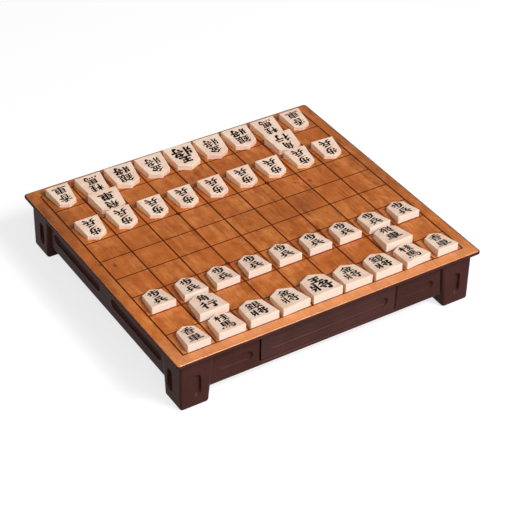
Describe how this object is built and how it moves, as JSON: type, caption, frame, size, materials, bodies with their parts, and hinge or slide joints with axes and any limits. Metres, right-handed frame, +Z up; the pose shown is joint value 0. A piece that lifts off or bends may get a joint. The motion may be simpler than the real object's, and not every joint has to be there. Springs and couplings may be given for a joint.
{
  "type": "shogi board set with piece drawers",
  "caption": "Rectangular shogi board on a dark frame with corner legs, sliding storage drawers under the playing field and wedge-shaped pieces set up for play.",
  "frame": {"origin": "centre of the footprint, on the surface that the legs stand on", "axes": "+X to the right along the front drawer, +Y from the front drawer towards the rear drawer, +Z up"},
  "size_m": [0.2926, 0.2692, 0.0602],
  "materials": {
    "board_wood": "satin lacquered reddish-brown wood with printed cell lines",
    "frame_plastic": "semi-gloss dark brown moulded plastic",
    "drawer_plastic": "semi-gloss dark brown moulded plastic",
    "inner_plastic": "plain moulded dark brown plastic",
    "screw_steel": "zinc-plated",
    "piece_wood": "smooth pale maple with black brushed characters"
  },
  "bodies": {
    "board": {"board_panel": "board_wood", "top_frame": "frame_plastic", "leg_front_left": "frame_plastic", "leg_front_right": "frame_plastic", "leg_rear_left": "frame_plastic", "leg_rear_right": "frame_plastic", "apron_front": "frame_plastic", "apron_rear": "frame_plastic", "apron_left": "frame_plastic", "apron_right": "frame_plastic", "base_panel": "inner_plastic", "drawer_guide_left": "inner_plastic", "drawer_guide_right": "inner_plastic", "drawer_divider": "inner_plastic", "deck_screws": "screw_steel", "base_screws": "screw_steel"},
    "front_drawer": {"front_drawer": "drawer_plastic"},
    "rear_drawer": {"rear_drawer": "drawer_plastic"},
    "near_king": {"near_king": "piece_wood"},
    "near_bishop": {"near_bishop": "piece_wood"},
    "near_rook": {"near_rook": "piece_wood"},
    "near_lance_left": {"near_lance_left": "piece_wood"},
    "near_lance_right": {"near_lance_right": "piece_wood"},
    "near_knight_left": {"near_knight_left": "piece_wood"},
    "near_knight_right": {"near_knight_right": "piece_wood"},
    "near_silver_left": {"near_silver_left": "piece_wood"},
    "near_silver_right": {"near_silver_right": "piece_wood"},
    "near_gold_left": {"near_gold_left": "piece_wood"},
    "near_gold_right": {"near_gold_right": "piece_wood"},
    "near_pawn_1": {"near_pawn_1": "piece_wood"},
    "near_pawn_2": {"near_pawn_2": "piece_wood"},
    "near_pawn_3": {"near_pawn_3": "piece_wood"},
    "near_pawn_4": {"near_pawn_4": "piece_wood"},
    "near_pawn_5": {"near_pawn_5": "piece_wood"},
    "near_pawn_6": {"near_pawn_6": "piece_wood"},
    "near_pawn_7": {"near_pawn_7": "piece_wood"},
    "near_pawn_8": {"near_pawn_8": "piece_wood"},
    "near_pawn_9": {"near_pawn_9": "piece_wood"},
    "far_king": {"far_king": "piece_wood"},
    "far_bishop": {"far_bishop": "piece_wood"},
    "far_rook": {"far_rook": "piece_wood"},
    "far_lance_left": {"far_lance_left": "piece_wood"},
    "far_lance_right": {"far_lance_right": "piece_wood"},
    "far_knight_left": {"far_knight_left": "piece_wood"},
    "far_knight_right": {"far_knight_right": "piece_wood"},
    "far_silver_left": {"far_silver_left": "piece_wood"},
    "far_silver_right": {"far_silver_right": "piece_wood"},
    "far_gold_left": {"far_gold_left": "piece_wood"},
    "far_gold_right": {"far_gold_right": "piece_wood"},
    "far_pawn_1": {"far_pawn_1": "piece_wood"},
    "far_pawn_2": {"far_pawn_2": "piece_wood"},
    "far_pawn_3": {"far_pawn_3": "piece_wood"},
    "far_pawn_4": {"far_pawn_4": "piece_wood"},
    "far_pawn_5": {"far_pawn_5": "piece_wood"},
    "far_pawn_6": {"far_pawn_6": "piece_wood"},
    "far_pawn_7": {"far_pawn_7": "piece_wood"},
    "far_pawn_8": {"far_pawn_8": "piece_wood"},
    "far_pawn_9": {"far_pawn_9": "piece_wood"}
  },
  "joints": [
    {"name": "drawer_front_slide", "type": "slide", "parent": "board", "child": "front_drawer", "axis": [0, -1, 0], "range_m": [0, 0.085]},
    {"name": "drawer_rear_slide", "type": "slide", "parent": "board", "child": "rear_drawer", "axis": [0, 1, 0], "range_m": [0, 0.085]},
    {"name": "lift_near_king", "type": "slide", "parent": "board", "child": "near_king", "axis": [0, 0, 1], "range_m": [0, 0.04]},
    {"name": "lift_near_bishop", "type": "slide", "parent": "board", "child": "near_bishop", "axis": [0, 0, 1], "range_m": [0, 0.04]},
    {"name": "lift_near_rook", "type": "slide", "parent": "board", "child": "near_rook", "axis": [0, 0, 1], "range_m": [0, 0.04]},
    {"name": "lift_near_lance_left", "type": "slide", "parent": "board", "child": "near_lance_left", "axis": [0, 0, 1], "range_m": [0, 0.04]},
    {"name": "lift_near_lance_right", "type": "slide", "parent": "board", "child": "near_lance_right", "axis": [0, 0, 1], "range_m": [0, 0.04]},
    {"name": "lift_near_knight_left", "type": "slide", "parent": "board", "child": "near_knight_left", "axis": [0, 0, 1], "range_m": [0, 0.04]},
    {"name": "lift_near_knight_right", "type": "slide", "parent": "board", "child": "near_knight_right", "axis": [0, 0, 1], "range_m": [0, 0.04]},
    {"name": "lift_near_silver_left", "type": "slide", "parent": "board", "child": "near_silver_left", "axis": [0, 0, 1], "range_m": [0, 0.04]},
    {"name": "lift_near_silver_right", "type": "slide", "parent": "board", "child": "near_silver_right", "axis": [0, 0, 1], "range_m": [0, 0.04]},
    {"name": "lift_near_gold_left", "type": "slide", "parent": "board", "child": "near_gold_left", "axis": [0, 0, 1], "range_m": [0, 0.04]},
    {"name": "lift_near_gold_right", "type": "slide", "parent": "board", "child": "near_gold_right", "axis": [0, 0, 1], "range_m": [0, 0.04]},
    {"name": "lift_near_pawn_1", "type": "slide", "parent": "board", "child": "near_pawn_1", "axis": [0, 0, 1], "range_m": [0, 0.04]},
    {"name": "lift_near_pawn_2", "type": "slide", "parent": "board", "child": "near_pawn_2", "axis": [0, 0, 1], "range_m": [0, 0.04]},
    {"name": "lift_near_pawn_3", "type": "slide", "parent": "board", "child": "near_pawn_3", "axis": [0, 0, 1], "range_m": [0, 0.04]},
    {"name": "lift_near_pawn_4", "type": "slide", "parent": "board", "child": "near_pawn_4", "axis": [0, 0, 1], "range_m": [0, 0.04]},
    {"name": "lift_near_pawn_5", "type": "slide", "parent": "board", "child": "near_pawn_5", "axis": [0, 0, 1], "range_m": [0, 0.04]},
    {"name": "lift_near_pawn_6", "type": "slide", "parent": "board", "child": "near_pawn_6", "axis": [0, 0, 1], "range_m": [0, 0.04]},
    {"name": "lift_near_pawn_7", "type": "slide", "parent": "board", "child": "near_pawn_7", "axis": [0, 0, 1], "range_m": [0, 0.04]},
    {"name": "lift_near_pawn_8", "type": "slide", "parent": "board", "child": "near_pawn_8", "axis": [0, 0, 1], "range_m": [0, 0.04]},
    {"name": "lift_near_pawn_9", "type": "slide", "parent": "board", "child": "near_pawn_9", "axis": [0, 0, 1], "range_m": [0, 0.04]},
    {"name": "lift_far_king", "type": "slide", "parent": "board", "child": "far_king", "axis": [0, 0, 1], "range_m": [0, 0.04]},
    {"name": "lift_far_bishop", "type": "slide", "parent": "board", "child": "far_bishop", "axis": [0, 0, 1], "range_m": [0, 0.04]},
    {"name": "lift_far_rook", "type": "slide", "parent": "board", "child": "far_rook", "axis": [0, 0, 1], "range_m": [0, 0.04]},
    {"name": "lift_far_lance_left", "type": "slide", "parent": "board", "child": "far_lance_left", "axis": [0, 0, 1], "range_m": [0, 0.04]},
    {"name": "lift_far_lance_right", "type": "slide", "parent": "board", "child": "far_lance_right", "axis": [0, 0, 1], "range_m": [0, 0.04]},
    {"name": "lift_far_knight_left", "type": "slide", "parent": "board", "child": "far_knight_left", "axis": [0, 0, 1], "range_m": [0, 0.04]},
    {"name": "lift_far_knight_right", "type": "slide", "parent": "board", "child": "far_knight_right", "axis": [0, 0, 1], "range_m": [0, 0.04]},
    {"name": "lift_far_silver_left", "type": "slide", "parent": "board", "child": "far_silver_left", "axis": [0, 0, 1], "range_m": [0, 0.04]},
    {"name": "lift_far_silver_right", "type": "slide", "parent": "board", "child": "far_silver_right", "axis": [0, 0, 1], "range_m": [0, 0.04]},
    {"name": "lift_far_gold_left", "type": "slide", "parent": "board", "child": "far_gold_left", "axis": [0, 0, 1], "range_m": [0, 0.04]},
    {"name": "lift_far_gold_right", "type": "slide", "parent": "board", "child": "far_gold_right", "axis": [0, 0, 1], "range_m": [0, 0.04]},
    {"name": "lift_far_pawn_1", "type": "slide", "parent": "board", "child": "far_pawn_1", "axis": [0, 0, 1], "range_m": [0, 0.04]},
    {"name": "lift_far_pawn_2", "type": "slide", "parent": "board", "child": "far_pawn_2", "axis": [0, 0, 1], "range_m": [0, 0.04]},
    {"name": "lift_far_pawn_3", "type": "slide", "parent": "board", "child": "far_pawn_3", "axis": [0, 0, 1], "range_m": [0, 0.04]},
    {"name": "lift_far_pawn_4", "type": "slide", "parent": "board", "child": "far_pawn_4", "axis": [0, 0, 1], "range_m": [0, 0.04]},
    {"name": "lift_far_pawn_5", "type": "slide", "parent": "board", "child": "far_pawn_5", "axis": [0, 0, 1], "range_m": [0, 0.04]},
    {"name": "lift_far_pawn_6", "type": "slide", "parent": "board", "child": "far_pawn_6", "axis": [0, 0, 1], "range_m": [0, 0.04]},
    {"name": "lift_far_pawn_7", "type": "slide", "parent": "board", "child": "far_pawn_7", "axis": [0, 0, 1], "range_m": [0, 0.04]},
    {"name": "lift_far_pawn_8", "type": "slide", "parent": "board", "child": "far_pawn_8", "axis": [0, 0, 1], "range_m": [0, 0.04]},
    {"name": "lift_far_pawn_9", "type": "slide", "parent": "board", "child": "far_pawn_9", "axis": [0, 0, 1], "range_m": [0, 0.04]}
  ]
}
